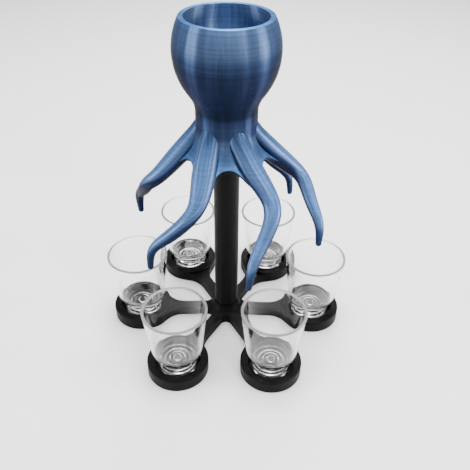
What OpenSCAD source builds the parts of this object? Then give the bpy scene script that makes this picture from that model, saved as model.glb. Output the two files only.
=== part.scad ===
// Octopus party shot dispenser.
// A drink poured into the open head runs down six hollow tentacles into six
// small glasses, which stand in the round cups of a six-armed base.
// A round post carries the head: it turns in the base, and the head lifts off it.
// Millimetres, +Z up, origin on the post's axis at the underside of the base.

/* [Glasses] */
// Height of a glass, foot to rim
glass_h = 60; // [54:1:70]
// Outer radius of a glass at its rim
glass_rim_r = 24; // [22:0.5:26]
// Outer radius of a glass at the heel of its bowl
glass_heel_r = 19.5; // [18:0.5:21]
// Wall thickness of a glass
glass_wall = 1.5; // [1.2:0.1:2]
// Thickness of the solid glass under the drink
glass_floor = 17; // [15.5:0.5:22]
// Radius of the foot at the surface that it stands on
foot_r = 14; // [13:0.5:15]
// Height of the foot, up to its groove
foot_h = 12.5; // [11:0.5:13.5]

/* [Base] */
// Radius of the circle on which the glasses stand
place_circle_r = 72; // [68:1:84]
// Thickness of the base's arms and cups
base_h = 8; // [7:0.5:11]
// Depth of the recess that holds a glass
cup_depth = 4.5; // [3:0.5:5]
// Gap all round between a glass's foot and its recess
cup_play = 3.5; // [2:0.5:4.5]
// Width of the rim round a recess
cup_rim = 6.2; // [4:0.2:8]
// Width of an arm
arm_w = 8.5; // [7:0.5:11]
// Radius of the inside corner where an arm runs into its cup
cup_fillet = 20; // [12:1:24]
// Radius of the inside corner between two arms
hub_fillet = 5; // [4:0.5:8]
// Radius of the cove that rises from the arms to the post
cove_r = 8; // [5:0.5:10]
// Bevel along the top and bottom edges
edge = 0.6; // [0.3:0.1:1]

/* [Post] */
// Diameter of the post
post_d = 19; // [16:0.5:20]
// Depth of the post in the base, from the top of the collar
post_seat = 13; // [9:0.5:14]
// Depth of the post in the head
head_seat = 20; // [12:1:24]
// Radial clearance of the post in the base and in the head
fit = 0.1; // [0.05:0.05:0.1]
// Thickness of the collar's lip round the post
collar_lip = 0.8; // [0.6:0.1:1.5]

/* [Head] */
// Outer radius of the neck
neck_r = 21.3; // [20:0.1:24]
// Largest outer radius of the bowl
bowl_r = 35.1; // [33:0.1:38]
// Radius of the curve of the bowl's side, top to bottom
bowl_curve_r = 46; // [42:1:54]
// Radius of the hollow between bowl and neck
neck_curve_r = 20; // [14:1:26]
// Height of the rim above the widest part of the bowl
rim_rise = 21.2; // [16:0.2:24]
// Wall thickness of the bowl
bowl_wall = 3.3; // [2.6:0.1:4.5]
// Height of the cone that shares the drink out, in the bottom of the bowl
divider_h = 9; // [5:0.5:14]
// Height of the top of the neck above the tentacle roots
neck_rise = 21; // [18:0.5:26]
// Depth of the head's underside below the tentacle roots
skirt_drop = 12; // [11:0.5:13]

/* [Webs] */
// Height above the tentacle roots at which the neck starts to flare
flare_rise = 10; // [9:0.5:11]
// Radius of the hollow between neck and webs
flare_curve_r = 24; // [21:0.5:26]
// Fall of the webs, below level, degrees
web_fall = 44.1; // [42:0.1:46]
// Thickness of a web
web_t = 2.5; // [2:0.1:3]
// Distance of the middle of a web's edge from the axis
web_r = 30; // [29:0.5:31]
// Radius of the hollow edge of a web, seen square to the web
web_curve_r = 10; // [9:0.5:11]
// Lean of a web's edge under the web, off upright, degrees
web_lean = 50; // [45:1:54]
// Turn of a web's middle past half way between two tentacle roots, degrees
web_turn = 3.8; // [2:0.1:5]
// Depth that a web runs into the flank of a tentacle
web_bite = 1.8; // [1.2:0.1:2.4]

/* [Tentacles] */
// Gap between a glass's rim and the end of the spout's centre line
tip_gap = 29; // [24:1:40]
// Height of a tentacle, root to tip, on its centre line
tentacle_drop = 75.5; // [70:0.5:90]
// Distance of a tentacle's root from the axis
root_reach = 22; // [21:0.5:24]
// Half width of a tentacle at its root
root_half = 7.8; // [7:0.1:8.6]
// Half width of a tentacle at its elbow
elbow_half = 6.3; // [5.4:0.1:7]
// Half width of a tentacle at its tip
tip_half = 2.3; // [2.1:0.1:3]
// Turn of the elbow about the axis, degrees
elbow_turn = 10.3; // [6:0.1:14]
// Turn of the tip about the axis, the other way, degrees
tip_turn = 16.4; // [10:0.1:20]
// Radius of the drink's passage where it leaves the head
passage_r = 2; // [1.6:0.1:2.4]
// Radius of the hole in the tip
outlet_r = 1.3; // [1:0.1:1.5]

/* [Hidden] */
$fn = 96;
places = 6;
place_turn = 360 / places;

silk_blue = [0.20, 0.36, 0.60];
black = [0.06, 0.06, 0.06];
clear = [0.85, 0.90, 0.92, 0.4];

// Heights, all built up from the underside of the base
seat_z = base_h - cup_depth;
rim_z = seat_z + glass_h;
tip_z = rim_z + tip_gap;
root_z = tip_z + tentacle_drop;
skirt_z = root_z - skirt_drop;
flare_z = root_z + flare_rise;
neck_z = root_z + neck_rise;
collar_z = base_h + cove_r;
post_low_z = collar_z - post_seat;
post_top_z = skirt_z + head_seat;

// Radii that follow from the sizes above
post_r = post_d / 2;
socket_r = post_r + fit;
cup_in_r = foot_r + cup_play;
cup_out_r = cup_in_r + cup_rim;
cove_foot_r = socket_r + collar_lip + cove_r;

// ---------------------------------------------------------------- helpers

// Points of an arc about [x, y], from angle a0 to angle a1
function arc(x, y, r, a0, a1, steps = 12) = [
    for (i = [0:steps])
        let (a = a0 + (a1 - a0) * i / steps)
        [x + r * cos(a), y + r * sin(a)]
];

// A vector's direction
function unit(v) = v / norm(v);

// Lays its child out once for each glass
module at_place(k) {
    rotate([0, 0, (k - 1) * place_turn]) children();
}

// ---------------------------------------------------------------- base

// Corner between two arms: the middle of its arc, and half of the arc's turn
hub_centre = (arm_w / 2 + hub_fillet) / sin(place_turn / 2);
hub_half_turn = 90 - place_turn / 2;

// Corner between an arm and its cup: the middle of its arc, and the arc's turn
corner_y = arm_w / 2 + cup_fillet;
corner_x = place_circle_r - sqrt(pow(cup_out_r + cup_fillet, 2) - corner_y * corner_y);
corner_turn = atan2(place_circle_r - corner_x, corner_y);
// How far the corner's end is sunk into the cup
sink = 0.3;
corner_end = [place_circle_r, 0] + (cup_out_r - sink) / (cup_out_r + cup_fillet)
    * [corner_x - place_circle_r, corner_y];

// Half of an arm's outline, from the middle of the corner before it to the cup
HALF_ARM = concat(
    arc(
        hub_centre * cos(place_turn / 2), hub_centre * sin(place_turn / 2),
        hub_fillet, 270 - hub_half_turn, 270, 6
    ),
    arc(corner_x, corner_y, cup_fillet, 270, 270 + corner_turn, 12),
    [corner_end]
);

// Plan of the six arms with all their corners, without the cups
module arms_plan() {
    count = len(HALF_ARM);
    polygon([
        for (k = [0:places - 1], i = [0:2 * count - 2])
            let (
                p = HALF_ARM[i < count ? i : 2 * count - 1 - i],
                y = i < count ? -p[1] : p[1],
                a = k * place_turn
            )
            [p[0] * cos(a) - y * sin(a), p[0] * sin(a) + y * cos(a)]
    ]);
}

// The six arms, cut to their height and to the cove round the post
module arms() {
    intersection() {
        linear_extrude(collar_z) arms_plan();
        rotate_extrude() {
            polygon(concat(
                [[0, 0], [place_circle_r, 0], [place_circle_r, base_h]],
                arc(cove_foot_r, collar_z, cove_r, 270, 180),
                [[0, collar_z]]
            ));
        }
    }
}

// One cup, with bevelled edges, ready for its recess
module cup() {
    translate([place_circle_r, 0, 0]) rotate_extrude() {
        polygon([
            [0, 0],
            [cup_out_r - edge, 0],
            [cup_out_r, edge],
            [cup_out_r, base_h - edge],
            [cup_out_r - edge, base_h],
            [0, base_h]
        ]);
    }
}

module base() {
    color(black) difference() {
        union() {
            arms();
            for (k = [1:places]) at_place(k) cup();
        }
        for (k = [1:places]) at_place(k) {
            translate([place_circle_r, 0, seat_z]) cylinder(r = cup_in_r, h = base_h);
        }
        translate([0, 0, post_low_z]) cylinder(r = socket_r, h = collar_z);
    }
}

// ---------------------------------------------------------------- post

module post() {
    color(black) rotate_extrude() {
        polygon([
            [0, post_low_z],
            [post_r - edge, post_low_z],
            [post_r, post_low_z + edge],
            [post_r, post_top_z - edge],
            [post_r - edge, post_top_z],
            [0, post_top_z]
        ]);
    }
}

// ---------------------------------------------------------------- head

// Centre and upper height of the bowl's side curve
bowl_centre_r = bowl_r - bowl_curve_r;
bowl_mid_z = neck_z + sqrt(
    pow(bowl_curve_r + neck_curve_r, 2) - pow(neck_r + neck_curve_r - bowl_centre_r, 2)
);
head_top_z = bowl_mid_z + rim_rise;
neck_centre_r = neck_r + neck_curve_r;

// Where the hollow of the neck runs into the bowl, seen from the hollow's centre
join_a = atan2(bowl_mid_z - neck_z, neck_centre_r - bowl_centre_r);

// Side of the bowl and neck, from the rim down, with a wall taken off it
function side(wall) =
    let (
        big = bowl_curve_r - wall,
        small = neck_curve_r + wall,
        top_a = asin(rim_rise / big)
    )
    concat(
        arc(bowl_centre_r, bowl_mid_z, big, top_a, -join_a, 24),
        arc(neck_centre_r, neck_z, small, 180 - join_a, 180, 10)
    );

// The webs lie on a cone. It starts where the flare's curve has turned far enough,
// and is cut off outside the places at which the webs end.
web_start = [
    neck_r + flare_curve_r * (1 - sin(web_fall)),
    flare_z - flare_curve_r * cos(web_fall)
];
web_end_r = web_r + 1.4 * web_curve_r;
function web_z(r) = web_start[1] - (r - web_start[0]) * tan(web_fall);
web_high = web_t / cos(web_fall);
skirt_r = web_start[0] + (web_start[1] - web_high - skirt_z) / tan(web_fall);

// Neck, bowl and the whole cone of the webs, closed and with no hollows
module head_cone() {
    rotate_extrude() {
        polygon(concat(
            [[0, head_top_z]],
            side(0),
            arc(neck_r + flare_curve_r, flare_z, flare_curve_r, 180, 270 - web_fall, 8),
            [
                [web_end_r, web_z(web_end_r)],
                [web_end_r, web_z(web_end_r) - web_high],
                [skirt_r, skirt_z],
                [0, skirt_z]
            ]
        ));
    }
}

// Open space outside a web, along +X: a round end that widens into the flanks of
// the two tentacles, more to the side on which the next one swings away. It leans
// outwards, so that the web's edge is undercut.
module web_space() {
    near_a = 31;
    far_a = 47;
    reach = 2 * web_curve_r;
    pieces = 16;
    round_end = arc(web_curve_r, 0, web_curve_r, 270 - near_a, 90 + far_a, pieces);
    near = round_end[0];
    far = round_end[pieces];
    translate([web_r, 0, web_z(web_r)]) rotate([0, web_lean, 0]) translate([0, 0, -web_r])
        linear_extrude(2 * web_r) {
            polygon(concat(
                round_end,
                [
                    far + reach * [cos(far_a), sin(far_a)],
                    far + [reach + web_curve_r, reach * sin(far_a)],
                    near + reach * [cos(near_a), -sin(near_a)]
                ]
            ));
        }
}

// Bed that the webs leave for tentacle 1, from its seat outwards
module bed() {
    half = root_half - web_bite;
    low = skirt_z - web_end_r;
    translate([bed_from[0], bed_from[1], low])
        rotate(atan2(bed_to[1] - bed_from[1], bed_to[0] - bed_from[0]))
            translate([0, -half, 0]) cube([2 * web_end_r, 2 * half, flare_z - low]);
}

// Outer form of the head without its tentacles, closed and with no hollows
module head_form() {
    difference() {
        head_cone();
        for (k = [1:places]) at_place(k) {
            rotate(place_turn / 2 + web_turn) web_space();
            bed();
        }
    }
}

// Space inside the bowl, down to the floor round the divider
module bowl_space() {
    inner = neck_r - bowl_wall;
    cone_r = inner - 3 * passage_r;
    rim_in = bowl_centre_r + sqrt(pow(bowl_curve_r - bowl_wall, 2) - pow(rim_rise, 2));
    rotate_extrude() {
        polygon(concat(
            [[0, head_top_z + edge], [rim_in, head_top_z + edge]],
            side(bowl_wall),
            [[cone_r, neck_z], [passage_r, neck_z + divider_h], [0, neck_z + divider_h]]
        ));
    }
}

// A round bar from a point along a unit vector
module bar(from, along, r, h) {
    translate(from)
        rotate([0, acos(along[2]), atan2(along[1], along[0])])
            cylinder(r = r, h = h);
}

// One drain: down from the floor of the bowl to the root of tentacle 1, then out
// into its passage
module drain() {
    mouth = [neck_r - bowl_wall - 1.5 * passage_r, 0, neck_z + 1];
    out = centre_line[0];
    overlap = passage_r / 2;
    bar(mouth, unit(out - mouth), 1.15 * passage_r, norm(out - mouth) + overlap);
    bar(out - overlap * root_way, root_way, passage_r, 4 * passage_r);
}

module reservoir() {
    color(silk_blue) difference() {
        head_form();
        bowl_space();
        translate([0, 0, skirt_z - 1]) cylinder(r = socket_r, h = post_top_z - skirt_z + 1);
        for (k = [1:places]) at_place(k) drain();
    }
}

// ---------------------------------------------------------------- tentacles

// Sides of a tentacle, pieces of path between two stations, rings round the tip
skin_sides = 16;
bore_sides = 8;
steps = 4;
cap_rings = 3;
// How far the root runs into the neck
root_tail = 12;

// Stations of the first tentacle, root to tip. Each row holds the share of the
// reach and of the drop gone by, the turn about the axis, the half width, the
// half depth, and how far the belly is pinched in below the web's ridge.
STATIONS = [
    [0, 0, -1, root_half, root_half, 0.4],
    [0.24, 0.17, elbow_turn * 0.42, root_half * 1.13, root_half * 0.985, 0.4],
    [0.545, 0.36, elbow_turn, elbow_half, elbow_half * 0.97, 0.35],
    [0.715, 0.465, elbow_turn * 0.4, elbow_half * 0.905, elbow_half * 0.81, 0.2],
    [0.81, 0.64, -tip_turn * 0.38, elbow_half * 0.76, elbow_half * 0.76, 0],
    [1, 0.775, -tip_turn * 0.95, tip_half * 1.6, tip_half * 1.43, 0],
    [1, 1, -tip_turn, tip_half, tip_half * 0.91, 0]
];

// A station as a place in space followed by its half width, half depth and pinch
function placed(s) =
    let (reach = root_reach + s[0] * (place_circle_r - root_reach))
    [
        reach * cos(s[2]), reach * sin(s[2]), root_z - s[1] * tentacle_drop,
        s[3], s[4], s[5]
    ];

// The stations with one more at each end, so that the curve starts at the first
// station and stops at the last
poles = [for (s = STATIONS) placed(s)];
last = len(poles) - 1;
spline_poles = concat(
    [2 * poles[0] - poles[1]], poles, [2 * poles[last] - poles[last - 1]]
);

// Uniform cubic B-spline through four neighbouring poles, t from 0 to 1
function blend(p, i, t) = (
    pow(1 - t, 3) * p[i]
    + (3 * pow(t, 3) - 6 * t * t + 4) * p[i + 1]
    + (-3 * pow(t, 3) + 3 * t * t + 3 * t + 1) * p[i + 2]
    + pow(t, 3) * p[i + 3]
) / 6;

run = concat(
    [for (i = [0:last - 1], j = [0:steps - 1]) blend(spline_poles, i, j / steps)],
    [blend(spline_poles, last - 1, 1)]
);

// Centre line of the first tentacle and its way at the root and at the tip
centre_line = [for (q = run) [q[0], q[1], q[2]]];
ends = len(run) - 1;
bed_from = centre_line[1];
bed_to = centre_line[6];
root_way = unit(centre_line[1] - centre_line[0]);
tip_way = unit(centre_line[ends] - centre_line[ends - 1]);

// Way of the centre line at each point
function way(i) = unit(centre_line[min(i + 1, ends)] - centre_line[max(i - 1, 0)]);

// One ring of n points about c, facing d: half width a, half depth b, the lower
// half drawn in by the pinch
function ring(c, d, a, b, pinch, n) =
    let (across = unit(cross([0, 0, 1], d)), up = cross(d, across))
    [
        for (j = [0:n - 1])
            let (
                t = 360 * j / n,
                x = cos(t),
                w = x * (1 - pinch * max(0, -sin(t)))
            )
            c + a * w * across + b * sin(t) * up
    ];

// Rings of the skin: the tail inside the neck, the run, and the round tip
skin_rings = concat(
    [ring(centre_line[0] - root_tail * root_way, root_way, run[0][3], run[0][4], run[0][5], skin_sides)],
    [for (i = [0:ends]) ring(centre_line[i], way(i), run[i][3], run[i][4], run[i][5], skin_sides)],
    [
        for (j = [1:cap_rings])
            let (a = 90 * j / (cap_rings + 0.5))
            ring(
                centre_line[ends] + tip_half * sin(a) * tip_way, tip_way,
                run[ends][3] * cos(a), run[ends][4] * cos(a), 0, skin_sides
            )
    ]
);

// Rings of the bore: it narrows evenly from the passage to the outlet, and runs
// out through the tip
function bore_r(i) = passage_r + (outlet_r - passage_r) * i / ends;
bore_rings = concat(
    [ring(centre_line[0] - root_tail * root_way, root_way, passage_r, passage_r, 0, bore_sides)],
    [for (i = [0:2:ends]) ring(centre_line[i], way(i), bore_r(i), bore_r(i), 0, bore_sides)],
    [ring(centre_line[ends] + 2 * tip_half * tip_way, tip_way, outlet_r, outlet_r, 0, bore_sides)]
);

// A closed skin over a list of rings of n points
module loft(rings, n) {
    count = len(rings);
    flat = [for (r = rings) each r];
    walls = [
        for (i = [0:count - 2], j = [0:n - 1])
            let (a = i * n + j, b = i * n + (j + 1) % n)
            each [[a, a + n, b], [b, a + n, b + n]]
    ];
    low = [for (j = [0:n - 1]) j];
    high = [for (j = [n - 1:-1:0]) (count - 1) * n + j];
    polyhedron(points = flat, faces = concat(walls, [low, high]), convexity = 6);
}

// One hollow tentacle, which ends on the outside of the neck and skirt
module tentacle() {
    color(silk_blue) difference() {
        loft(skin_rings, skin_sides);
        loft(bore_rings, bore_sides);
        head_form();
    }
}

// ---------------------------------------------------------------- glasses

// Groove above the foot, curve of the heel and of the corner inside, foot's taper
groove_r = 1.02 * foot_r;
foot_top_r = 1.1 * foot_r;
heel_curve_r = 8;
corner_curve_r = 6;
heel_z = foot_h + heel_curve_r;
taper = atan2(glass_rim_r - glass_heel_r, glass_h - heel_z);

// Radius of the inside of a glass at a height above its foot
function inside_r(z) = glass_heel_r - glass_wall / cos(taper) + (z - heel_z) * tan(taper);

// One glass on its place: foot, groove, heel, straight side, round rim, inside
module glass() {
    heel = [glass_heel_r - heel_curve_r * cos(taper), heel_z + heel_curve_r * sin(taper)];
    heel_a = -acos((groove_r - heel[0]) / heel_curve_r);
    corner_z = glass_floor + corner_curve_r;
    corner_r = inside_r(corner_z - corner_curve_r * sin(taper)) - corner_curve_r * cos(taper);
    lip = glass_wall / 2;
    color(clear) translate([place_circle_r, 0, seat_z]) rotate_extrude() {
        polygon(concat(
            [[0, 0], [foot_r - edge, 0], [foot_r, edge]],
            [[foot_top_r, foot_h - edge], [foot_top_r - edge, foot_h], [groove_r, foot_h]],
            arc(heel[0], heel[1], heel_curve_r, heel_a, -taper, 8),
            arc(glass_rim_r - lip, glass_h - lip, lip, -taper, 180 - taper, 8),
            arc(corner_r, corner_z, corner_curve_r, -taper, -90, 8),
            [[0, glass_floor]]
        ));
    }
}

// ---------------------------------------------------------------- assembly

base();
post();
reservoir();
at_place(1) tentacle();  // tentacle_1
at_place(2) tentacle();  // tentacle_2
at_place(3) tentacle();  // tentacle_3
at_place(4) tentacle();  // tentacle_4
at_place(5) tentacle();  // tentacle_5
at_place(6) tentacle();  // tentacle_6
at_place(1) glass();  // glass_1
at_place(2) glass();  // glass_2
at_place(3) glass();  // glass_3
at_place(4) glass();  // glass_4
at_place(5) glass();  // glass_5
at_place(6) glass();  // glass_6
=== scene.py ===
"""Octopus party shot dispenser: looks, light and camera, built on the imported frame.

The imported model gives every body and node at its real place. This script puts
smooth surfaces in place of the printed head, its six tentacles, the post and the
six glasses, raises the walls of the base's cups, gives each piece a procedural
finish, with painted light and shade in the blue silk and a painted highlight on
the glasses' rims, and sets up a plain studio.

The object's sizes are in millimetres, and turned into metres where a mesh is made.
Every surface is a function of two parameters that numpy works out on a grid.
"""

import logging
import math
from dataclasses import dataclass, field
from enum import Enum

import bmesh
import bpy
import numpy as np
from mathutils import Matrix, Vector


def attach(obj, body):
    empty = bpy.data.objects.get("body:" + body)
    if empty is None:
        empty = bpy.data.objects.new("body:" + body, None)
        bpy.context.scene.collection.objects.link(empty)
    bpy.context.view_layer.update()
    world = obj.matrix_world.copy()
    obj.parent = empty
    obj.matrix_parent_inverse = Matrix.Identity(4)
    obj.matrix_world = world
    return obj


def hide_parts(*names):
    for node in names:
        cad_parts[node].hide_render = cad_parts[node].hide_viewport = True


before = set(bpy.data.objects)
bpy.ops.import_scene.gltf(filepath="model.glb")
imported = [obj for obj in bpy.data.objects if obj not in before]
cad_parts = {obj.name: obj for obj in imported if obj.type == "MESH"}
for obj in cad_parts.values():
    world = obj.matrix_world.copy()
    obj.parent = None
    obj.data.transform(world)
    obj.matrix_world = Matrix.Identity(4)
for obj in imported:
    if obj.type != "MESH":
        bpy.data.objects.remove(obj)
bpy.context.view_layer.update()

LOG = logging.getLogger("shot_dispenser")
MM = 0.001
PLACES = 6
PLACE_TURN = math.radians(360 / PLACES)
MERGE_MM = 1e-4
TINY = 1e-9
UV_MAP = "UVMap"

Array = np.ndarray
Pair = tuple[float, float]
Point = tuple[float, float, float]
Colour = tuple[float, float, float, float]
Tones = tuple[tuple[float, Colour], ...]
Rows = tuple[Pair, ...]
Material = bpy.types.Material
Thing = bpy.types.Object
Socket = bpy.types.NodeSocket


# ---------- shared sizes


@dataclass(frozen=True)
class Datum:
    """Heights and radii that several sub-assemblies share, in millimetres."""

    place_circle_r: float = 72.0
    seat_z: float = 3.5
    glass_h: float = 60.0
    tip_gap: float = 29.0
    tentacle_drop: float = 75.5
    root_r: float = 22.0
    neck_r: float = 21.3
    post_r: float = 9.5
    socket_r: float = 9.6
    post_low_z: float = 3.0
    post_top_z: float = 176.0
    skirt_z: float = 156.0

    @property
    def root_z(self) -> float:
        """Height of the tentacle roots' centres."""
        return self.seat_z + self.glass_h + self.tip_gap + self.tentacle_drop


DATUM = Datum()


class Lamp(Enum):
    """The studio's square lamps: place and side in metres, and power in watts."""

    KEY = ((-1.52, -0.40, 0.35), 0.64, 29.0)
    FILL = ((0.65, -0.75, 0.8), 0.2, 6.0)
    SIDE = ((1.54, -0.20, 0.35), 0.64, 38.0)
    BACK = ((0.1, 0.9, 1.0), 0.6, 14.0)
    TOP = ((0.0, 0.05, 1.3), 0.9, 45.0)


class Closing(Enum):
    """How a grid closes on itself: ROUND across its columns, RING across its rows as well."""

    ROUND = "round"
    RING = "ring"


# ---------- curves and grids


def arc(centre: Pair, r: float, start: float, end: float, steps: int) -> Array:
    """Points of a circular arc: centre plus radius times (cos, sin) of an even range of angles.

    Args:
        centre: its two coordinates.
        r: radius.
        start: first angle, degrees.
        end: last angle, degrees.
        steps: number of pieces.

    Returns:
        An array of steps + 1 rows.
    """
    a = np.radians(np.linspace(start, end, steps + 1))
    return centre + r * np.stack([np.cos(a), np.sin(a)], axis=-1)


def shares(steps: int) -> Array:
    """Even shares from 0 to 1, with both ends, as a column."""
    return np.linspace(0.0, 1.0, steps + 1)[:, None]


def round_angles(count: int) -> Array:
    """Even angles over a full turn, in radians."""
    return np.linspace(0.0, 2 * math.pi, count, endpoint=False)


def blend(a: Array, b: Array, c: Array, t: Array) -> Array:
    """A quadratic curve from a to c, drawn towards b: (1-t)^2 a + 2 t (1-t) b + t^2 c."""
    return (1 - t) ** 2 * a + 2 * t * (1 - t) * b + t**2 * c


def rounded(points: list[Pair], radii: list[float], steps: int) -> Array:
    """An open path whose inner corners are rounded.

    Each corner is replaced by a quadratic blend between the two points that lie
    the given distance before and after it on its two sides.

    Args:
        points: the path's corners.
        radii: distance taken off on both sides of each corner; 0 keeps it sharp.
        steps: pieces in a rounded corner.

    Returns:
        The path's points in order.
    """
    corners = np.asarray(points, float)
    rows = [corners[:1]]
    t = shares(steps)
    for before, corner, after, cut in zip(corners, corners[1:], corners[2:], radii[1:-1]):
        if cut <= 0:
            rows.append(corner[None])
            continue
        a = corner + (before - corner) * cut / np.linalg.norm(before - corner)
        b = corner + (after - corner) * cut / np.linalg.norm(after - corner)
        rows.append(blend(a, corner, b, t))
    rows.append(corners[-1:])
    return np.concatenate(rows)


def held(points: Array, gap: float = 0.15) -> Array:
    """The path with a point added near both ends of each long step, so that flats shade flat.

    An added point lies on its own straight step, the gap away from the step's end.

    Args:
        points: the path's points.
        gap: distance from the ends; steps under four times as long stay as they are.

    Returns:
        The path's points in order.
    """
    step = np.diff(points, axis=0)
    length = np.linalg.norm(step, axis=1)
    way = step * (gap / np.maximum(length, gap))[:, None]
    rows = np.stack([points[:-1], points[:-1] + way, points[1:] - way], axis=1)
    wanted = np.repeat((length > 4 * gap)[:, None], 3, axis=1)
    wanted[:, 0] = True
    return np.concatenate([rows[wanted], points[-1:]])


def lathe(profile: Array, sides: int) -> Array:
    """A profile (r, z) turned about the Z axis: (r cos a, r sin a, z) at even angles a.

    Args:
        profile: rows of radius and height.
        sides: number of angles.

    Returns:
        A grid of points, profile rows by angles.
    """
    a = round_angles(sides)
    r, z = profile[:, :1], profile[:, 1:]
    return np.stack([r * np.cos(a), r * np.sin(a), z + 0 * a], axis=-1)


def turned(points: Array, places: int) -> Array:
    """The points turned about the Z axis by a number of places."""
    c, s = math.cos(places * PLACE_TURN), math.sin(places * PLACE_TURN)
    return points @ np.array([[c, s, 0], [-s, c, 0], [0, 0, 1]])


def added(name: str, data: bpy.types.ID) -> Thing:
    """A new object at the world's origin, linked to the scene.

    Args:
        name: the object's name.
        data: the mesh, lamp or camera that it holds.

    Returns:
        The object.
    """
    thing = bpy.data.objects.new(name, data)
    bpy.context.scene.collection.objects.link(thing)
    return thing


def surface(name: str, grids: list[tuple[Array, Closing]],
            finishes: list[int] | None = None) -> Thing:
    """A mesh object made of one or more grids of points in millimetres.

    Each grid's neighbouring points become four-sided faces. Points that lie on
    each other, as at a pole, are merged, and the faces of the closed shell are
    turned outwards. The UV map runs once along the rows and once along the columns.

    Args:
        name: the object's name.
        grids: each grid, an array of (rows, columns, 3), with how it closes.
        finishes: each grid's material index, 0 for all where none is given.

    Returns:
        The object, at the origin.
    """
    points, quads, uvs, index, start = [], [], [], [], 0
    for number, (grid, closing) in enumerate(grids):
        rows, cols = grid.shape[:2]
        i = np.arange(rows if closing is Closing.RING else rows - 1)[:, None]
        j = np.arange(cols)[None, :]
        i2, j2 = (i + 1) % rows, (j + 1) % cols
        quad = np.stack([i * cols + j, i2 * cols + j, i2 * cols + j2, i * cols + j2], axis=-1)
        u = np.stack([i, i + 1, i + 1, i], -1) / rows + 0 * quad
        v = np.stack([j, j, j + 1, j + 1], -1) / cols + 0 * quad
        quads.append(quad.reshape(-1, 4) + start)
        uvs.append(np.stack([u, v], -1).reshape(-1, 2))
        points.append(grid.reshape(-1, 3))
        index.append(np.full(i.size * j.size, finishes[number] if finishes else 0))
        start += rows * cols
    mesh = bpy.data.meshes.new(name)
    mesh.from_pydata(np.concatenate(points) * MM, [], np.concatenate(quads))
    layer = mesh.uv_layers.new(name=UV_MAP)
    layer.data.foreach_set("uv", np.concatenate(uvs).ravel())
    mesh.polygons.foreach_set("material_index", np.concatenate(index))
    work = bmesh.new()
    work.from_mesh(mesh)
    bmesh.ops.remove_doubles(work, verts=work.verts, dist=MERGE_MM * MM)
    bmesh.ops.dissolve_degenerate(work, edges=work.edges, dist=MERGE_MM * MM)
    bmesh.ops.recalc_face_normals(work, faces=work.faces)
    work.to_mesh(mesh)
    work.free()
    mesh.shade_smooth()
    return added(name, mesh)


def dress(piece: Thing, finishes: list[Material], body: str) -> None:
    """Gives a piece its materials and body.

    Args:
        piece: the object.
        finishes: its materials, in the order of their indices.
        body: the CAD body that it rides on.
    """
    for material in finishes:
        piece.data.materials.append(material)
    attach(piece, body)
    LOG.info("%s: %d faces on %s, %s", piece.name, len(piece.data.polygons), body, finishes[0].name)


# ---------- finishes


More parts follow.
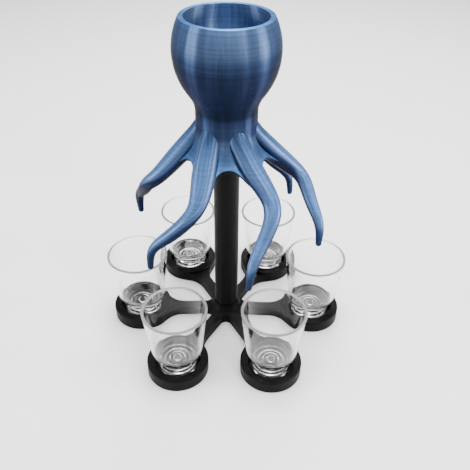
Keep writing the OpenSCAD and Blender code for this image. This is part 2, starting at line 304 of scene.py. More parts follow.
class NodeSheet:
    """A material's node tree with short calls to add and join its nodes."""

    def __init__(self, name: str) -> None:
        """Starts an empty tree with a Principled shader.

        Args:
            name: the material's name.
        """
        self.material = bpy.data.materials.new(name)
        self.material.use_nodes = True
        self.tree = self.material.node_tree
        self.shader = self.tree.nodes["Principled BSDF"]

    def add(self, kind: str, **inputs: object) -> bpy.types.Node:
        """Adds a node and sets its inputs by name.

        Args:
            kind: the node's type.
            inputs: values, with spaces in an input's name written as underscores.

        Returns:
            The node.
        """
        node = self.tree.nodes.new(kind)
        for name, value in inputs.items():
            node.inputs[name.replace("_", " ")].default_value = value
        return node

    def join(self, source: Socket, target: Socket) -> None:
        """Links two sockets."""
        self.tree.links.new(source, target)

    def set(self, **inputs: object) -> None:
        """Sets the shader's own inputs, with spaces written as underscores."""
        for name, value in inputs.items():
            self.shader.inputs[name.replace("_", " ")].default_value = value

    def object_point(self, scale: Point) -> Socket:
        """Object coordinates times a scale for each axis.

        Args:
            scale: repeats in a metre along X, Y and Z.

        Returns:
            The vector's socket.
        """
        place = self.add("ShaderNodeTexCoord")
        mapping = self.add("ShaderNodeMapping", Scale=scale)
        self.join(place.outputs["Object"], mapping.inputs["Vector"])
        return mapping.outputs["Vector"]

    def height(self) -> Socket:
        """The height in the object's coordinates, in metres."""
        return self.axis(self.object_point((1.0, 1.0, 1.0)), "Z")

    def uv_point(self, scale: Point) -> Socket:
        """The piece's own UV map times a scale for each axis.

        Args:
            scale: repeats over the map, along the rows, the columns and depth.

        Returns:
            The vector's socket.
        """
        place = self.add("ShaderNodeUVMap")
        place.uv_map = UV_MAP
        mapping = self.add("ShaderNodeMapping", Scale=scale)
        self.join(place.outputs["UV"], mapping.inputs["Vector"])
        return mapping.outputs["Vector"]

    def spread(self, number: Socket, low: Pair, high: Pair, kind: str = "SMOOTHSTEP") -> Socket:
        """Maps a number so that one value becomes another at each of two places.

        Args:
            number: the socket to map.
            low: a value and what it becomes.
            high: a second value and what it becomes.
            kind: LINEAR, or SMOOTHSTEP for soft ends.

        Returns:
            The result's socket, held between the two results.
        """
        node = self.add("ShaderNodeMapRange", From_Min=low[0], From_Max=high[0],
                        To_Min=low[1], To_Max=high[1])
        node.interpolation_type = kind
        self.join(number, node.inputs["Value"])
        return node.outputs["Result"]

    def times(self, colour: Socket, number: Socket) -> Socket:
        """A colour or number times a number.

        Args:
            colour: the colour's socket.
            number: the factor's socket.

        Returns:
            The product's socket.
        """
        node = self.add("ShaderNodeVectorMath")
        node.operation = "SCALE"
        self.join(colour, node.inputs[0])
        self.join(number, node.inputs["Scale"])
        return node.outputs["Vector"]

    def noise(self, point: Socket, detail: float) -> Socket:
        """Plain noise at a point.

        Args:
            point: the vector's socket.
            detail: the number of finer noises on top.

        Returns:
            The noise's socket, about 0.3 to 0.7.
        """
        node = self.add("ShaderNodeTexNoise", Scale=1.0, Detail=detail, Roughness=0.6)
        self.join(point, node.inputs["Vector"])
        return node.outputs["Fac"]

    def axis(self, vector: Socket, name: str) -> Socket:
        """One part of a vector.

        Args:
            vector: the vector's socket.
            name: X, Y or Z.

        Returns:
            The number's socket.
        """
        node = self.add("ShaderNodeSeparateXYZ")
        self.join(vector, node.inputs[0])
        return node.outputs[name]

    def relief(self, height: Socket, strength: float, depth: float) -> None:
        """Puts a fine relief on the shader.

        Args:
            height: the height's socket.
            strength: how much of it shows.
            depth: its depth in metres.
        """
        bump = self.add("ShaderNodeBump", Strength=strength, Distance=depth)
        self.join(height, bump.inputs["Height"])
        self.join(bump.outputs["Normal"], self.shader.inputs["Normal"])

    def ramp(self, factor: Socket, stops: list[tuple[float, Colour]]) -> bpy.types.Node:
        """A colour ramp driven by a factor.

        Args:
            factor: the socket that drives it.
            stops: each stop's place and colour, first and last included.

        Returns:
            The ramp node.
        """
        node = self.add("ShaderNodeValToRGB")
        elements = node.color_ramp.elements
        for element, stop in zip(elements, (stops[0], stops[-1])):
            element.position, element.color = stop
        for place, colour in stops[1:-1]:
            elements.new(place).color = colour
        self.join(factor, node.inputs["Fac"])
        return node


@dataclass(frozen=True)
class SilkFilament:
    """Steel-blue silk plastic, printed in fine level layers with a pearly sheen.

    painted_facing_tones holds the colour at each upward part of the normal, painted shade
    that lightens faces which look up, and shade a factor for it at each height in
    millimetres, painted light and shade in bands along the height.
    """

    name: str = "blue_silk"
    # painted sheen: the number of light and dark streaks round the map's columns
    sheen_streaks: float = 36.0
    # painted shade: the colour at each upward part of the normal, lighter on faces that look up,
    # darkest on overhangs
    painted_facing_tones: Tones = (
        (-0.60, (0.009, 0.013, 0.032, 1)),
        (-0.12, (0.012, 0.018, 0.042, 1)),
        (0.04, (0.025, 0.040, 0.090, 1)),
        (0.12, (0.050, 0.080, 0.155, 1)),
        (0.30, (0.072, 0.115, 0.224, 1)),
        (0.60, (0.056, 0.112, 0.250, 1)),
        (0.90, (0.085, 0.205, 0.460, 1)),
    )
    sheen_streak_contrast: float = 0.15
    # painted light and shade: a factor of the colour at each height, darkest on the neck under the
    # bowl's swell, with lighter and darker bands up the bowl
    shade: Rows = (
        (165.0, 1.0), (173.0, 1.3), (180.0, 1.2), (186.0, 0.88), (192.0, 0.58),
        (198.0, 0.82), (205.0, 1.2), (214.0, 1.32), (221.0, 1.18), (227.0, 0.95),
        (234.0, 0.74), (247.0, 0.68), (249.5, 0.85), (252.0, 0.9),
    )
    metallic: float = 0.6
    roughness: float = 0.4
    grooves: float = 1.0
    shine: float = 0.12
    sheen_tint: Colour = (0.0, 0.05, 0.24, 1)
    ring_scale: Point = (4.0, 4.0, 750.0)
    ring_detail: float = 2.0
    ring_span: Pair = (0.38, 0.62)
    ring_contrast: float = 0.09
    ring_relief: float = 0.35
    ring_depth: float = 0.00008
    # painted sheen streaks: their run along the rows, their detail and the noise span they use
    sheen_streak_run: float = 1.5
    sheen_streak_detail: float = 3.0
    sheen_streak_span: Pair = (0.36, 0.64)

    def material(self) -> Material:
        """Builds the material.

        The colour is painted shade: it follows the normal's Z through the
        painted_facing_tones, so faces that look up are lighter than upright ones and
        overhangs are the darkest. It is multiplied by narrow painted sheen streaks along
        the piece's own UV map, by fine level rings, which also make the relief, and by
        the shade at its height, painted shade under the bowl's swell and painted bands of
        light and shade up the bowl. The layers' grooves draw each highlight out along the
        map's rows.

        Returns:
            The material.
        """
        sheet = NodeSheet(self.name)
        rings = sheet.noise(sheet.object_point(self.ring_scale), self.ring_detail)
        # painted sheen: streaks along the UV map lighten and darken the colour
        sheen_streaks = sheet.noise(sheet.uv_point((self.sheen_streak_run, self.sheen_streaks, 1.0)), self.sheen_streak_detail)
        # painted shade: the colour follows the normal's Z, lighter where faces look up
        normal = sheet.axis(sheet.add("ShaderNodeNewGeometry").outputs["Normal"], "Z")
        half = sheet.spread(normal, (-1.0, 0.0), (1.0, 1.0), "LINEAR")
        painted_facing_shade = sheet.ramp(half, [(0.5 + 0.5 * z, tone) for z, tone in self.painted_facing_tones])
        colour = painted_facing_shade.outputs["Color"]
        for noise, span, swing in ((sheen_streaks, self.sheen_streak_span, self.sheen_streak_contrast),
                                   (rings, self.ring_span, self.ring_contrast)):
            factor = sheet.spread(noise, (span[0], 1 - swing), (span[1], 1 + swing))
            colour = sheet.times(colour, factor)
        # painted light and shade by height: the colour is multiplied by the shade ramp
        low, high = self.shade[0][0], self.shade[-1][0]
        share = sheet.spread(sheet.height(), (low * MM, 0.0), (high * MM, 1.0), "LINEAR")
        shade = sheet.ramp(share, [((z - low) / (high - low), (v, v, v, 1)) for z, v in self.shade])
        shade.color_ramp.interpolation = "B_SPLINE"
        colour = sheet.times(colour, shade.outputs["Color"])
        sheet.join(colour, sheet.shader.inputs["Base Color"])
        sheet.relief(rings, self.ring_relief, self.ring_depth)
        along = sheet.add("ShaderNodeTangent")
        along.direction_type, along.uv_map = "UV_MAP", UV_MAP
        sheet.join(along.outputs["Tangent"], sheet.shader.inputs["Tangent"])
        sheet.set(Metallic=self.metallic, Roughness=self.roughness, Anisotropic=self.grooves)
        sheet.set(Specular_IOR_Level=self.shine, Specular_Tint=self.sheen_tint)
        return sheet.material


@dataclass(frozen=True)
class TentacleSilk(SilkFilament):
    """The same silk on the tentacles, with painted shade: darker on the flanks and where they leave
    the neck.
    """

    name: str = "blue_silk_tentacle"
    sheen_streaks: float = 24.0
    # painted shade: darker on the flanks, which face sideways and down
    painted_facing_tones: Tones = (
        (-0.60, (0.008, 0.012, 0.030, 1)),
        (-0.12, (0.010, 0.016, 0.040, 1)),
        (0.10, (0.018, 0.032, 0.078, 1)),
        (0.28, (0.052, 0.088, 0.182, 1)),
        (0.45, (0.066, 0.114, 0.235, 1)),
        (0.65, (0.057, 0.117, 0.258, 1)),
        (0.90, (0.078, 0.185, 0.420, 1)),
    )
    sheen_streak_contrast: float = 0.22
    # painted shade: the crowns darken upwards into the neck's shade
    shade: Rows = ((150.0, 1.0), (164.0, 0.96), (173.0, 0.8), (180.0, 0.6), (188.0, 0.45))
    metallic: float = 0.4
    grooves: float = 0.6


@dataclass(frozen=True)
class LitLiningSilk(SilkFilament):
    """The same silk inside the bowl, in one tone lighter than the outside's: painted light."""

    name: str = "blue_silk_lining_painted_light"
    sheen_streaks: float = 70.0
    # painted light: one tone, lighter than the outside's, all over the inside
    painted_facing_tones: Tones = (
        (-1.0, (0.15, 0.23, 0.40, 1)),
        (1.0, (0.15, 0.23, 0.40, 1)),
    )
    shade: Rows = ((180.0, 1.0), (252.0, 1.05))


@dataclass(frozen=True)
class SatinBlack:
    """Black plastic with a soft satin face and faint layers."""

    name: str = "black_satin"
    colour: Colour = (0.0035, 0.0030, 0.0032, 1)
    roughness: float = 0.48
    shine: float = 0.06
    grain_scale: Point = (400.0, 400.0, 2200.0)
    grain_detail: float = 2.0
    grain_relief: float = 0.15
    grain_depth: float = 0.00004

    def material(self) -> Material:
        """Builds the material: a plain black, with fine grain in its relief.

        Returns:
            The material.
        """
        sheet = NodeSheet(self.name)
        grain = sheet.noise(sheet.object_point(self.grain_scale), self.grain_detail)
        sheet.relief(grain, self.grain_relief, self.grain_depth)
        sheet.set(Base_Color=self.colour, Roughness=self.roughness, Specular_IOR_Level=self.shine)
        return sheet.material


@dataclass(frozen=True)
class ClearGlass:
    """Clear, smooth pressed glass.

    The rim begins between the heights rim_from and rim_to above the base's underside.
    """

    name: str = "pressed_glass"
    colour: Colour = (1.0, 1.0, 1.0, 1)
    shine: Colour = (0.15, 0.15, 0.15, 1)
    ior: float = 1.46
    rim_from: float = 61.9
    rim_to: float = 62.4
    rim_roughness: float = 0.4
    rim_painted_light_clearness: float = 0.84

    def material(self) -> Material:
        """Builds the material: clear and smooth up to the rim.

        Roughness and clearness follow the height: the round rim is rough and partly a
        diffuse white, a painted highlight that keeps it light on any ground.

        Returns:
            The material.
        """
        sheet = NodeSheet(self.name)
        height = sheet.height()
        low, high = self.rim_from * MM, self.rim_to * MM
        rough = sheet.spread(height, (low, 0.0), (high, self.rim_roughness))
        # painted highlight: above the rim's start part of the glass is diffuse white
        clear = sheet.spread(height, (low, 1.0), (high, self.rim_painted_light_clearness))
        sheet.join(rough, sheet.shader.inputs["Roughness"])
        sheet.join(clear, sheet.shader.inputs["Transmission Weight"])
        sheet.set(Base_Color=self.colour, IOR=self.ior, Specular_Tint=self.shine)
        return sheet.material


@dataclass(frozen=True)
class PaleFloor:
    """A plain pale studio floor."""

    name: str = "pale_floor"
    colour: Colour = (0.82, 0.81, 0.80, 1)
    roughness: float = 0.7

    def material(self) -> Material:
        """Builds the material, one colour all over.

        Returns:
            The material.
        """
        sheet = NodeSheet(self.name)
        sheet.set(Base_Color=self.colour, Roughness=self.roughness)
        return sheet.material


# ---------- head


@dataclass
class Head:
    """The open bowl, its neck and the webbed skirt between the tentacles.

    web_root holds the sheet's first points, inside the neck, as steps from the
    neck's radius and the flare's top.
    """

    bowl_r: float = 35.1
    bowl_curve_r: float = 46.0
    neck_curve_r: float = 20.0
    ease: float = 12.0
    rim_rise: float = 21.2
    rim_h: float = 0.6
    rim_edge: float = 0.55
    rim_leans: Pair = (0.15, 0.05)
    wall: float = 3.3
    divider_h: float = 9.0
    divider_top_r: float = 2.0
    divider_edge: float = 1.2
    channel: float = 6.0
    neck_rise: float = 21.0
    foot_edge: float = 1.0
    underside_rise: float = 0.2
    socket_edge: float = 0.3
    flare_rise: float = 10.0
    flare_curve_r: float = 24.0
    web_fall: float = 44.1
    web_t: float = 2.5
    web_r: float = 30.0
    web_curve_r: float = 10.0
    web_lean: float = 50.0
    web_turn: float = 3.8
    web_near: float = 31.0
    web_far: float = 47.0
    web_hold_r: float = 40.5
    web_nose: float = 0.5
    web_root: Rows = ((-2.0, 1.0), (-0.1, 1.0))
    drain_r: float = 2.3
    drain_circle_r: float = 15.0
    drain_depth: float = 14.0
    drain_lean: float = 0.32
    sides: int = 240
    inner_sides: int = 72
    web_sides: int = 60
    side_steps: int = 84
    foot_steps: int = 12
    edge_steps: int = 5
    floor_steps: int = 8
    drain_steps: int = 5
    flare_steps: int = 20
    cone_steps: int = 16
    under_steps: int = 14
    neck_z: float = field(init=False)
    bowl_mid_z: float = field(init=False)
    top_z: float = field(init=False)

    def __post_init__(self) -> None:
        """Works out the heights that follow from the sizes."""
        across = DATUM.neck_r + self.neck_curve_r - (self.bowl_r - self.bowl_curve_r)
        reach = self.bowl_curve_r + self.neck_curve_r
        self.neck_z = DATUM.root_z + self.neck_rise
        self.bowl_mid_z = self.neck_z + math.sqrt(reach**2 - across**2)
        self.top_z = self.bowl_mid_z + self.rim_rise

    def side(self, wall: float) -> Array:
        """The bowl's side from rim to neck, with a wall taken off it.

        Two arcs that meet tangentially: a large one about a centre across the
        axis, and a small hollow one about a centre outside the neck. The bend eases
        from one to the other: the heading is the sum of the bend along the path,
        and the path is the sum of the heading. What that leaves open at the neck is
        shared out evenly along the path.

        Args:
            wall: thickness taken off, 0 for the outside.

        Returns:
            Rows of radius and height, downwards.
        """
        big, small = self.bowl_curve_r - wall, self.neck_curve_r + wall
        centre_r = self.bowl_r - self.bowl_curve_r
        hollow_r = DATUM.neck_r + self.neck_curve_r
        meet = math.atan2(self.bowl_mid_z - self.neck_z, hollow_r - centre_r)
        top = math.asin((self.rim_rise - self.rim_h) / big)
        turn = big * (top + meet)
        along = (turn + small * meet) * shares(self.side_steps)
        share = np.clip(0.5 + (along - turn) / self.ease, 0.0, 1.0)
        bend = (1 / big + 1 / small) * share**2 * (3 - 2 * share) - 1 / big
        heading = top - math.pi / 2 + self.summed(bend, along[1, 0])
        path = self.summed(np.hstack([np.cos(heading), np.sin(heading)]), along[1, 0])
        path += (centre_r + big * math.cos(top), self.bowl_mid_z + big * math.sin(top))
        return path + (np.array([hollow_r - small, self.neck_z]) - path[-1]) * along / along[-1]

    @staticmethod
    def summed(rows: Array, step: float) -> Array:
        """The running sum of rows that lie a step apart, each step by its middle value."""
        middle = (rows[1:] + rows[:-1]) / 2 * step
        return np.concatenate([np.zeros_like(rows[:1]), np.cumsum(middle, axis=0)])

    def shell_profiles(self) -> tuple[Array, Array]:
        """Outside and rim of the bowl from the neck's foot up, and its inside down to the floor.

        Returns:
            Rows of radius and height for each of the two.
        """
        outside, inside = self.side(0.0)[::-1], self.side(self.wall)
        outer, inner = tuple(outside[-1]), tuple(inside[0])
        rim = rounded(
            [outer, (outer[0] - self.rim_leans[0], self.top_z),
             (inner[0] + self.rim_leans[1], self.top_z), inner],
            [0, self.rim_edge, self.rim_edge, 0], self.edge_steps,
        )
        low = DATUM.skirt_z + self.foot_edge
        foot = (DATUM.neck_r, low) + shares(self.foot_steps)[:-1] * (0.0, self.neck_z - low)
        skin = np.concatenate([foot, outside, rim[1:-1], inside[:1]])
        return skin, np.concatenate([inside, [[DATUM.neck_r - self.wall, self.neck_z]]])

    def core_profile(self) -> Array:
        """The neck's underside, the socket for the post and the socket's end.

        Returns:
            Rows of radius and height, from the outside to the axis.
        """
        low, top = DATUM.skirt_z + self.underside_rise, DATUM.post_top_z
        return np.array([
            (DATUM.neck_r, DATUM.skirt_z + self.foot_edge), (DATUM.neck_r - self.foot_edge, low),
            (DATUM.socket_r + self.socket_edge, low), (DATUM.socket_r, low + self.socket_edge),
            (DATUM.socket_r, top), (0.0, top),
        ])

    def floor_grid(self) -> Array:
        """The bowl's floor round the six drains, and the drains' first part.

        For each sixth of the floor the points run from the sector's outline, which
        is where a ray from the hole's middle first meets the sector's inner or outer
        circle or one of its two straight sides, in to the hole's circle. Below, the
        rows go down the drain.

        Returns:
            A grid for the sector about +X.
        """
        a = round_angles(self.inner_sides)
        d = np.stack([np.cos(a), np.sin(a)], -1)
        c = np.array([self.drain_circle_r, 0.0])
        outer, inner = DATUM.neck_r - self.wall, self.inner_floor_r
        b = d @ c
        to_outer = -b + np.sqrt(b**2 - (c @ c - outer**2))
        gap = b**2 - (c @ c - inner**2)
        to_inner = np.where((gap > 0) & (b < 0), -b - np.sqrt(np.maximum(gap, 0)), np.inf)
        reach = np.minimum(to_outer, to_inner)
        for sign in (-1, 1):
            n = np.array([-math.sin(PLACE_TURN / 2), sign * math.cos(PLACE_TURN / 2)])
            fall = d @ n
            side = np.where(fall > TINY, -(c @ n) / np.maximum(fall, TINY), np.inf)
            reach = np.minimum(reach, side)
        ring, edge = self.drain_r * d, reach[:, None] * d
        t = shares(self.floor_steps)[::-1, :, None]
        flat = ring * (1 - t) + edge * t + c
        flat = np.concatenate([flat, np.full(flat.shape[:2] + (1,), self.neck_z)], -1)
        sunk = shares(self.drain_steps)[1:, :, None]
        way = np.array([self.drain_lean, 0.0, -1.0]) * self.drain_depth
        return np.concatenate([flat, flat[-1:] + sunk * way])

    @property
    def inner_floor_r(self) -> float:
        """Radius at which the divider's cone rises from the floor."""
        return DATUM.neck_r - self.wall - self.channel

    def divider_profile(self) -> Array:
        """The cone in the middle of the floor, with a blunt round top.

        Returns:
            Rows of radius and height, from its foot to the axis.
        """
        top = self.neck_z + self.divider_h
        corners = [(self.inner_floor_r, self.neck_z), (self.divider_top_r, top), (0.0, top)]
        return rounded(corners, [0, self.divider_edge, 0], self.edge_steps)

    def web_reach(self, a: Array) -> Array:
        """How far the skirt reaches from the axis at each angle.

        Seen square to the web, its edge is a circle with a straight line on each
        side that leaves it tangentially. In that view a point of the web's cone at
        radius q and angle b lies at q (cos b cos lean + tan fall sin lean) outwards
        and at q sin b across, so each ray from the axis meets the circle by a
        quadratic equation in q and the lines by a linear one.

        Args:
            a: angles, radians.

        Returns:
            The radii.
        """
        middle = PLACE_TURN / 2 + math.radians(self.web_turn)
        b = (a - middle + PLACE_TURN / 2) % PLACE_TURN - PLACE_TURN / 2
        lean, fall = math.radians(self.web_lean), math.radians(self.web_fall)
        tilt, least_slope = math.tan(fall) * math.sin(lean), 0.05
        stretch = math.cos(lean) + tilt
        x, y = np.cos(b) * math.cos(lean) + tilt, np.sin(b)
        r, out = self.web_curve_r, self.web_r * stretch
        square, half = x**2 + y**2, x * (out + r)
        root = np.maximum(half**2 - square * ((out + r) ** 2 - r**2), 0)
        reach = (half - np.sqrt(root)) / square
        for side, leave in ((-1, math.radians(self.web_near)), (1, math.radians(self.web_far))):
            start = r * np.array([1 - math.sin(leave), side * math.cos(leave)])
            normal = np.array([math.sin(leave), -side * math.cos(leave)])
            slope = x * normal[0] + y * normal[1]
            straight = (start @ normal + out * normal[0]) / np.maximum(slope, least_slope)
            past = side * b > side * math.atan2(start[1], self.web_r + start[0] / stretch)
            reach = np.where(past, straight, reach)
        return np.minimum(reach, self.web_hold_r)

    def skirt_grid(self) -> Array:
        """The webs as one star-shaped sheet round the neck.

        At each angle a profile runs from inside the neck over the flare and down
        a cone to the web's edge, turns sharply in under it, and goes back below,
        where it is the cone's parallel until that meets the level underside.

        Returns:
            A grid of points, profile rows by angles.
        """
        a = round_angles(self.web_sides * PLACES)
        edge = self.web_reach(a)[None, :]
        fall = math.radians(self.web_fall)
        flare_z = DATUM.root_z + self.flare_rise
        flare = arc((DATUM.neck_r + self.flare_curve_r, flare_z), self.flare_curve_r,
                    180, 270 - self.web_fall, self.flare_steps)
        start = flare[-1]
        top = np.concatenate([np.array(self.web_root) + (DATUM.neck_r, flare_z), flare])
        rows_r = [np.repeat(top[:, :1], a.size, 1)]
        rows_z = [np.repeat(top[:, 1:], a.size, 1)]
        nose = self.web_nose
        near = edge - nose * math.cos(fall)
        r = start[0] + shares(self.cone_steps)[1:] * (near - start[0])
        rows_r.append(r)
        rows_z.append(start[1] - (r - start[0]) * math.tan(fall))
        edge_z = start[1] - (edge - start[0]) * math.tan(fall)
        dip = math.radians(90 - self.web_lean)
        t = shares(self.edge_steps)[1:]
        rows_r.append(edge - nose * ((1 - t) ** 2 * math.cos(fall) + t**2 * math.cos(dip)))
        rows_z.append(edge_z + nose * ((1 - t) ** 2 * math.sin(fall) - t**2 * math.sin(dip)))
        high = self.web_t / math.cos(fall)
        cut = np.maximum(high / (math.tan(fall) + math.tan(dip)),
                         (edge_z - DATUM.skirt_z) / math.tan(dip))
        t = shares(self.under_steps)
        r = (edge - cut) * (1 - t) + DATUM.socket_r * t
        rows_r.append(r)
        rows_z.append(np.minimum(start[1] - high - (r - start[0]) * math.tan(fall), DATUM.skirt_z))
        rr, zz = np.concatenate(rows_r), np.concatenate(rows_z)
        return np.stack([rr * np.cos(a), rr * np.sin(a), zz], -1)

    def build(self, finish: Material, lit_lining: Material) -> None:
        """Makes the bowl and the skirt, and lets them stand for the CAD reservoir.

        Args:
            finish: the silk material.
            lit_lining: the silk for the inside, lighter as painted light.
        """
        skin, inside = self.shell_profiles()
        outer = [lathe(skin, self.sides), lathe(self.core_profile(), self.inner_sides)]
        lined = [lathe(inside, self.sides), lathe(self.divider_profile(), self.inner_sides)]
        sector = self.floor_grid()
        lined += [turned(sector, k) for k in range(PLACES)]
        bowl = surface("bowl", [(grid, Closing.ROUND) for grid in outer + lined],
                       [0] * len(outer) + [1] * len(lined))
        skirt = surface("web_skirt", [(self.skirt_grid(), Closing.RING)])
        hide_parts("reservoir")
        dress(bowl, [finish, lit_lining], "head")
        dress(skirt, [finish], "head")


@dataclass
class Tentacle:
    """One hollow tentacle; the six are alike.

    stations holds, from root to tip, the shares of the reach and of the drop gone
    by, the turn about the axis in degrees, the half width, the half depth and how
    far the belly is drawn in below the ridge on each flank.
    """

    place: int
    stations: tuple[tuple[float, ...], ...] = (
        (0.0, 0.0, -1.0, 7.8, 7.8, 0.4),
        (0.24, 0.17, 4.326, 8.81, 7.68, 0.4),
        (0.545, 0.36, 10.3, 6.3, 6.11, 0.35),
        (0.715, 0.465, 4.12, 5.7, 5.1, 0.2),
        (0.81, 0.64, -6.232, 4.79, 4.79, 0.0),
        (1.0, 0.775, -15.58, 3.68, 3.29, 0.0),
        (1.0, 1.0, -16.4, 2.3, 2.1, 0.0),
    )
    tail: float = 12.0
    crown_r: float = 13.0
    crown_rise: float = 19.0
    crown_bend: float = 12.0
    crown_share: float = 0.72
    passage_r: float = 2.0
    outlet_r: float = 1.3
    lip_edge: float = 0.25
    mouth_share: float = 0.97
    rings_per_piece: int = 22
    tip_rings: int = 8
    crown_rings: int = 11
    sides: int = 56

    def run(self) -> Array:
        """Centre line and section sizes along the tentacle.

        The stations, with one more mirrored past each end, are the poles of a
        uniform cubic B-spline, evaluated for all pieces at once.

        Returns:
            Rows of x, y, z, half width, half depth and pinch.
        """
        s = np.array(self.stations)
        reach = DATUM.root_r + s[:, 0] * (DATUM.place_circle_r - DATUM.root_r)
        a = np.radians(s[:, 2])
        z = DATUM.root_z - s[:, 1] * DATUM.tentacle_drop
        poles = np.column_stack([reach * np.cos(a), reach * np.sin(a), z, s[:, 3:]])
        poles = np.vstack([2 * poles[0] - poles[1], poles, 2 * poles[-1] - poles[-2]])
        last = len(s) - 1
        t = np.append(np.arange(last)[:, None] + shares(self.rings_per_piece)[:-1, 0], last - TINY)
        i, u = t.astype(int), t % 1
        weights = np.stack([(1 - u) ** 3, 3 * u**3 - 6 * u**2 + 4,
                            -3 * u**3 + 3 * u**2 + 3 * u + 1, u**3], -1) / 6
        return np.einsum("nk,nkd->nd", weights, poles[i[:, None] + np.arange(4)])

    def frames(self, centre: Array) -> tuple[Array, Array, Array]:
        """Direction, level crosswise direction and upward direction at each point.

        Args:
            centre: the centre line.

        Returns:
            Three arrays of unit vectors.
        """
        way = np.gradient(centre, axis=0)
        way /= np.linalg.norm(way, axis=1)[:, None]
        across = np.cross([0.0, 0.0, 1.0], way)
        across /= np.linalg.norm(across, axis=1)[:, None]
        return way, across, np.cross(way, across)

    def rings(self, centre: Array, frames: tuple[Array, Array, Array], wide: Array,
              deep: Array, pinch: Array) -> Array:
        """Sections carried along the centre line.

        At angle a a section's point is the centre plus wide cos a across plus deep
        sin a up; below the middle its width shrinks by pinch times the sine, which
        leaves a ridge on both flanks.

        Args:
            centre: centre points.
            frames: directions from frames().
            wide: half widths.
            deep: half depths.
            pinch: how far the belly is drawn in.

        Returns:
            A grid, points along by sides around.
        """
        a = round_angles(self.sides)
        draw = 1 - pinch[:, None] * np.maximum(-np.sin(a), 0)
        x = wide[:, None] * np.cos(a) * draw
        y = deep[:, None] * np.sin(a)
        _, across, up = frames
        return centre[:, None] + x[..., None] * across[:, None] + y[..., None] * up[:, None]

    def grid(self) -> Array:
        """The whole tentacle: crown, skin down to the tip, round tip, bore back up.

        Returns:
            A grid that closes both ways.
        """
        run = self.run()
        centre, tip_size = run[:, :3], run[-1, 3:5]
        frames = self.frames(centre)
        way = frames[0]
        tail = centre[:1] - self.tail * way[:1]
        skin = self.rings(centre, frames, run[:, 3], run[:, 4], run[:, 5])
        lip = math.acos((self.outlet_r + self.lip_edge) / tip_size[0])
        b = lip * shares(self.tip_rings)[1:, 0]
        tip_centre = centre[-1] + tip_size[0] * np.sin(b)[:, None] * way[-1]
        tip_frames = tuple(np.repeat(f[-1:], b.size, 0) for f in frames)
        wide, deep = tip_size[:, None] * np.cos(b)
        tip = self.rings(tip_centre, tip_frames, wide, deep, 0 * b)
        mouth_at = centre[-1] + tip_size[0] * math.sin(lip) * self.mouth_share * way[-1]
        bore_centre = np.concatenate([mouth_at[None], centre[::-1], tail])
        bore_frames = tuple(np.concatenate([f[-1:], f[::-1], f[:1]]) for f in frames)
        bore_r = np.linspace(self.outlet_r, self.passage_r, bore_centre.shape[0])
        bore = self.rings(bore_centre, bore_frames, bore_r, bore_r, 0 * bore_r)
        return np.concatenate([self.crown(centre[0], way[0], run[0]), skin, tip, bore])

    def crown(self, root: Array, way: Array, size: Array) -> Array:
        """The end that rises inside the neck, so that the ridge fades out upwards.

        Its centre line is a quadratic blend from a point near the axis to the root,
        which it meets in the tentacle's own direction, and its section shrinks by
        the square of the way up to the upper end.

        Args:
            root: the root's centre.
            way: the tentacle's direction there.
            size: the root's row of run().

        Returns:
            Rings from the upper end to just before the root.
        """
        t = shares(self.crown_rings)[:-1]
        out = np.append(root[:2] / np.linalg.norm(root[:2]), 0.0)
        high = out * self.crown_r + np.array([0, 0, root[2] + self.crown_rise])
        knee = root - self.crown_bend * way
        centre = blend(high, knee, root, t)
        frames = self.frames(np.concatenate([centre, root[None], (root + way)[None]]))
        frames = tuple(f[: t.size] for f in frames)
        grow = 1 - (1 - self.crown_share) * (1 - t[:, 0]) ** 2
        return self.rings(centre, frames, size[3] * grow, size[4] * grow, size[5] + 0 * grow)

    def build(self, finish: Material) -> None:
        """Makes the tentacle in its place and lets it stand for its CAD node.

        Args:
            finish: the silk material.
        """
        grid = turned(self.grid(), self.place - 1)
        piece = surface(f"tentacle_skin_{self.place}", [(grid, Closing.RING)])
        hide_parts(f"tentacle_{self.place}")
        dress(piece, [finish], "head")


# ---------- stand


@dataclass
class Stand:
    """The six-armed base with its cups, and the post.

    cup_sink is how far the cups' walls reach below the glasses' seats, so that no
    gap shows between them and the kept base.
    """

    post_edge: float = 0.6
    cup_r: float = 23.72
    cup_inner_r: float = 17.48
    cup_h: float = 10.8
    cup_foot: float = 0.6
    cup_edge: float = 1.1
    cup_sink: float = 0.2
    cup_edge_steps: int = 6
    post_edge_steps: int = 4
    sides: int = 96

    def cup_profile(self) -> Array:
        """One cup's wall, round-edged on top, as an outline that meets its own start.

        Returns:
            Rows of radius and height.
        """
        middle, floor = (self.cup_r + self.cup_inner_r) / 2, DATUM.seat_z - self.cup_sink
        return rounded(
            [(middle, self.cup_foot), (self.cup_r, self.cup_foot), (self.cup_r, self.cup_h),
             (self.cup_inner_r, self.cup_h), (self.cup_inner_r, floor), (middle, floor)],
            [0, 0, self.cup_edge, self.cup_edge / 2, 0, 0], self.cup_edge_steps,
        )

    def build(self, finish: Material) -> None:
        """Dresses the base from the frame, and makes the cups' walls and a smooth post.

        Args:
            finish: the black material.
        """
        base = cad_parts["base"]
        base.data.materials.clear()
        base.data.materials.append(finish)
        LOG.info("base: kept from the frame, %s", finish.name)
        cup = lathe(held(self.cup_profile()), self.sides) + (DATUM.place_circle_r, 0.0, 0.0)
        walls = surface("cup_walls", [(turned(cup, k), Closing.RING) for k in range(PLACES)])
        dress(walls, [finish], "base")
        edge, r, low, high = self.post_edge, DATUM.post_r, DATUM.post_low_z, DATUM.post_top_z
        corners = [(0, low), (r, low), (r, high), (0, high)]
        profile = rounded(corners, [0, edge, edge, 0], self.post_edge_steps)
        post = surface("round_post", [(lathe(held(profile), self.sides), Closing.ROUND)])
        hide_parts("post")
        dress(post, [finish], "post")


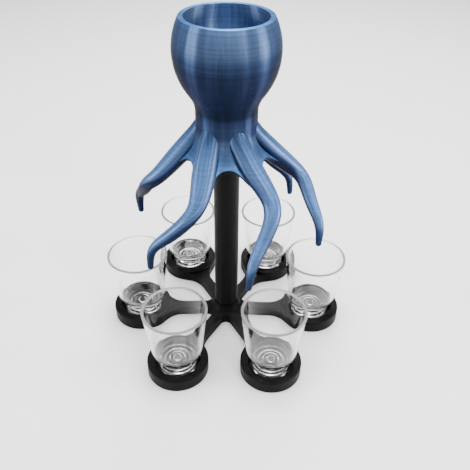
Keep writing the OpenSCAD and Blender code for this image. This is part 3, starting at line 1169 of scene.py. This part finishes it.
@dataclass
class ShotGlass:
    """One heavy-based shot glass on its place; the six are alike.

    steps holds the radius and height of each corner of the hollow under the foot.
    """

    place: int
    rim_r: float = 24.0
    heel_r: float = 19.5
    wall: float = 2.0
    floor: float = 17.0
    foot_r: float = 14.0
    foot_h: float = 12.5
    groove_r: float = 13.5
    foot_top_r: float = 15.4
    heel_curve_r: float = 8.0
    corner_curve_r: float = 6.0
    edge: float = 0.6
    groove_h: float = 0.2
    steps: Rows = (
        (2.4, 2.6), (3.4, 5.0), (5.4, 5.0), (6.6, 2.6), (8.8, 2.6), (10.8, 0.0),
    )
    step_edge: float = 0.4
    foot_edge: float = 0.3
    ripples: int = 4
    ripple: float = 0.1
    edge_steps: int = 3
    curve_steps: int = 16
    rim_steps: int = 12
    sides: int = 96

    def profile(self) -> Array:
        """Foot, groove, heel, straight side, round rim and inside, as radius and height.

        The foot is hollow underneath, in round steps, as pressed glasses are. The
        heel has faint ripples: each point's radius less a small depth times the
        square of a sine that runs through half a turn a ripple.

        Returns:
            Rows from the middle of the foot to the middle of the inside.
        """
        h = DATUM.glass_h
        heel_z = self.foot_h + self.heel_curve_r
        taper = math.atan2(self.rim_r - self.heel_r, h - heel_z)
        deg = math.degrees(taper)
        heel = (self.heel_r - self.heel_curve_r * math.cos(taper),
                heel_z + self.heel_curve_r * math.sin(taper))
        heel_a = -math.degrees(math.acos((self.groove_r - heel[0]) / self.heel_curve_r))
        corner_z = self.floor + self.corner_curve_r
        touch_z = corner_z - self.corner_curve_r * math.sin(taper)
        inside = self.heel_r - self.wall / math.cos(taper) + (touch_z - heel_z) * math.tan(taper)
        corner_r = inside - self.corner_curve_r * math.cos(taper)
        lip = self.wall / 2
        foot = rounded(
            [(0, self.steps[0][1]), *self.steps, (self.foot_r - self.edge, 0),
             (self.foot_r, self.edge), (self.foot_top_r, self.foot_h - self.edge),
             (self.foot_top_r - self.edge, self.foot_h), (self.groove_r, self.foot_h + self.groove_h)],
            [0, *[self.step_edge] * len(self.steps), *[self.foot_edge] * 4, 0], self.edge_steps,
        )
        heel_arc = arc(heel, self.heel_curve_r, heel_a, -deg, self.curve_steps * self.ripples)
        wave = np.sin(np.linspace(0.0, math.pi * self.ripples, len(heel_arc)))
        heel_arc[:, 0] -= self.ripple * wave**2
        corner_arc = arc((corner_r, corner_z), self.corner_curve_r, -deg, -90, self.curve_steps)
        rim_arc = arc((self.rim_r - lip, h - lip), lip, -deg, 180 - deg, self.rim_steps)
        return held(np.concatenate([foot, heel_arc, rim_arc, corner_arc, [[0.0, self.floor]]]))

    def build(self, finish: Material) -> None:
        """Makes the glass in its place and lets it stand for its CAD node.

        Args:
            finish: the glass material.
        """
        grid = lathe(self.profile(), self.sides) + (DATUM.place_circle_r, 0.0, DATUM.seat_z)
        grid = turned(grid, self.place - 1)
        piece = surface(f"shot_glass_{self.place}", [(grid, Closing.ROUND)])
        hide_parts(f"glass_{self.place}")
        dress(piece, [finish], f"glass_{self.place}_body")


# ---------- studio


@dataclass
class Studio:
    """Plain floor, soft lights and the camera.

    The eye is in millimetres, farthest, aim and floor_half are in metres, and the
    three angles are in radians. focal_px is the focal length in an image image_px wide.
    """

    focal_px: float = 560.3
    image_px: float = 470.0
    sensor: float = 36.0
    eye: Point = (8.37, -348.88, 350.70)
    pitch: float = 0.6535
    yaw: float = -0.0047
    roll: float = 0.01354
    farthest: float = 20.0
    aim: Point = (0.0, 0.0, 0.12)
    floor_half: float = 3.0
    sky: Colour = (0.92, 0.95, 1.0, 1)
    sky_strength: float = 0.35

    def camera(self) -> None:
        """Sets the camera at the eye.

        It looks along (sin yaw cos pitch, cos yaw cos pitch, -sin pitch), and its
        right and up directions are turned by the roll.
        """
        data = bpy.data.cameras.new("camera")
        data.sensor_width = self.sensor
        data.lens = self.focal_px / self.image_px * self.sensor
        data.clip_end = self.farthest
        ahead = np.array([math.sin(self.yaw) * math.cos(self.pitch),
                          math.cos(self.yaw) * math.cos(self.pitch), -math.sin(self.pitch)])
        right = np.array([math.cos(self.yaw), -math.sin(self.yaw), 0.0])
        up = np.cross(right, ahead)
        c, s = math.cos(self.roll), math.sin(self.roll)
        right, up = c * right + s * up, -s * right + c * up
        matrix = np.eye(4)
        matrix[:3, 0], matrix[:3, 1], matrix[:3, 2] = right, up, -ahead
        matrix[:3, 3] = np.array(self.eye) * MM
        cam = added("camera", data)
        cam.matrix_world = Matrix(matrix.tolist())
        bpy.context.scene.camera = cam

    def lamp(self, role: Lamp) -> None:
        """Adds a soft lamp that faces the middle of the object.

        Args:
            role: the lamp.
        """
        place, side, watts = role.value
        name = role.name.lower()
        data = bpy.data.lights.new(name, "AREA")
        data.shape, data.size, data.energy = "SQUARE", side, watts
        lamp = added(name, data)
        lamp.location = place
        way = Vector(self.aim) - Vector(place)
        lamp.rotation_euler = way.to_track_quat("-Z", "Y").to_euler()
        lamp.visible_camera = False

    def build(self, floor: Material) -> None:
        """Makes the floor, the surrounding light, the lamps and the camera.

        Args:
            floor: the floor's material.
        """
        mesh = bpy.data.meshes.new("floor")
        half = self.floor_half
        corners = [(-half, -half, 0), (half, -half, 0), (half, half, 0), (-half, half, 0)]
        mesh.from_pydata(corners, [], [(0, 1, 2, 3)])
        mesh.materials.append(floor)
        added("floor", mesh)
        world = bpy.data.worlds.new("studio")
        world.use_nodes = True
        sky = world.node_tree.nodes["Background"].inputs
        sky["Color"].default_value = self.sky
        sky["Strength"].default_value = self.sky_strength
        bpy.context.scene.world = world
        for role in Lamp:
            self.lamp(role)
        self.camera()
        LOG.info("studio: floor, %d lamps, camera", len(Lamp))


def main() -> None:
    """Builds every sub-assembly in order."""
    logging.basicConfig(level=logging.INFO, format="%(name)s: %(message)s")
    silk = SilkFilament().material()
    tentacle_silk = TentacleSilk().material()
    # painted light: the inside of the bowl gets a lighter copy of the silk
    lit_lining = LitLiningSilk().material()
    black = SatinBlack().material()
    glass = ClearGlass().material()
    Head().build(silk, lit_lining)
    for place in range(1, PLACES + 1):
        Tentacle(place).build(tentacle_silk)
    Stand().build(black)
    for place in range(1, PLACES + 1):
        ShotGlass(place).build(glass)
    Studio().build(PaleFloor().material())


if __name__ == "__main__":
    main()
